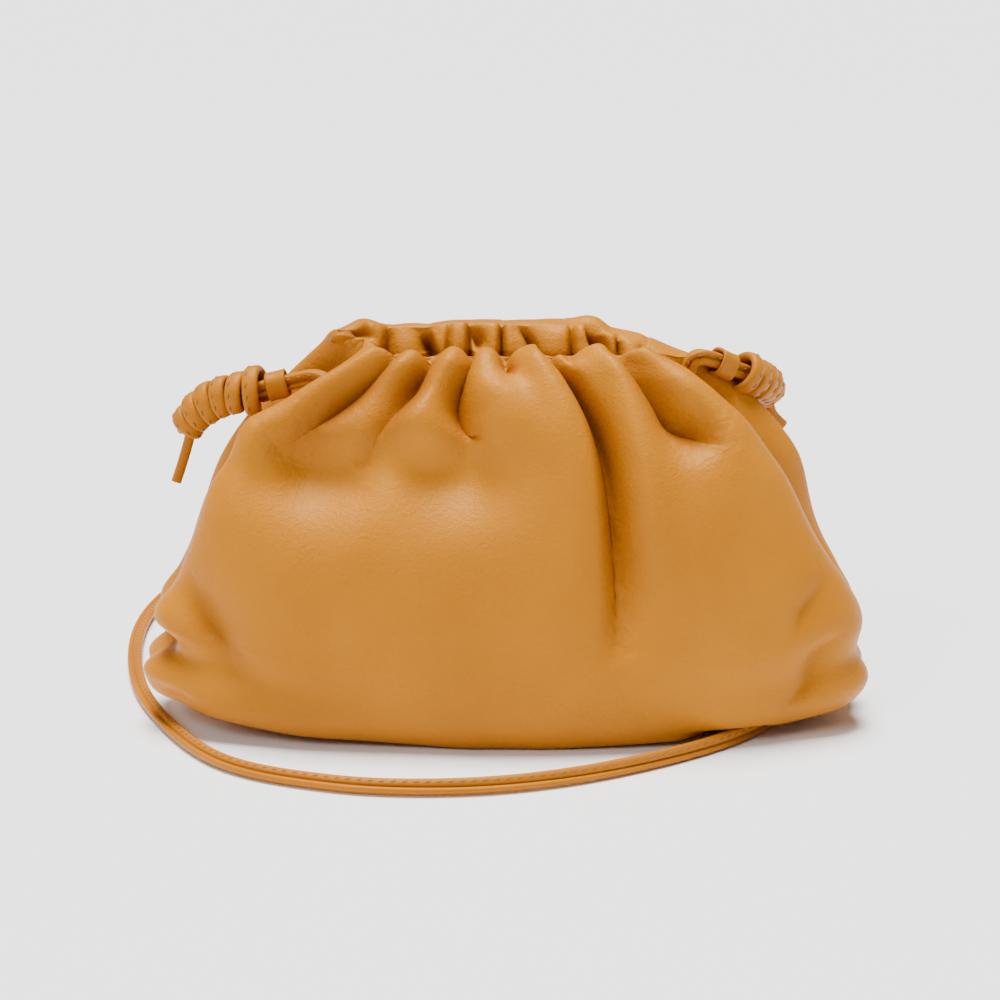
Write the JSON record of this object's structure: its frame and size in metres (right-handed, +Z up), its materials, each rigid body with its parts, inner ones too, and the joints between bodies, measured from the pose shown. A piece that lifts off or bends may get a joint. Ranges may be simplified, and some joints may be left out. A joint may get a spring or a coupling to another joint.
{
  "type": "cloud pouch bag",
  "caption": "Small soft leather pouch clutch with a gathered shut mouth, a knot and keeper at each side, and a narrow shoulder strap lying round it on the ground.",
  "frame": {"origin": "on the ground, in the middle of the flat patch that the pouch rests on", "axes": "+X to the bag's right as its front is looked at, +Y from the front to the back, +Z up"},
  "size_m": [0.2348, 0.2428, 0.1205],
  "materials": {
    "body_leather": "smooth nappa with a fine grain and a soft satin sheen",
    "strap_leather": "smooth folded leather, stitched along the edge, satin"
  },
  "bodies": {
    "root": {"pouch_body": "body_leather", "strap": "strap_leather", "strap_loop_left": "strap_leather", "strap_loop_right": "strap_leather", "keeper_left": "body_leather", "keeper_right": "body_leather", "knot_left": "strap_leather", "knot_right": "strap_leather", "tail_left": "strap_leather", "tail_right": "strap_leather"}
  },
  "joints": []
}
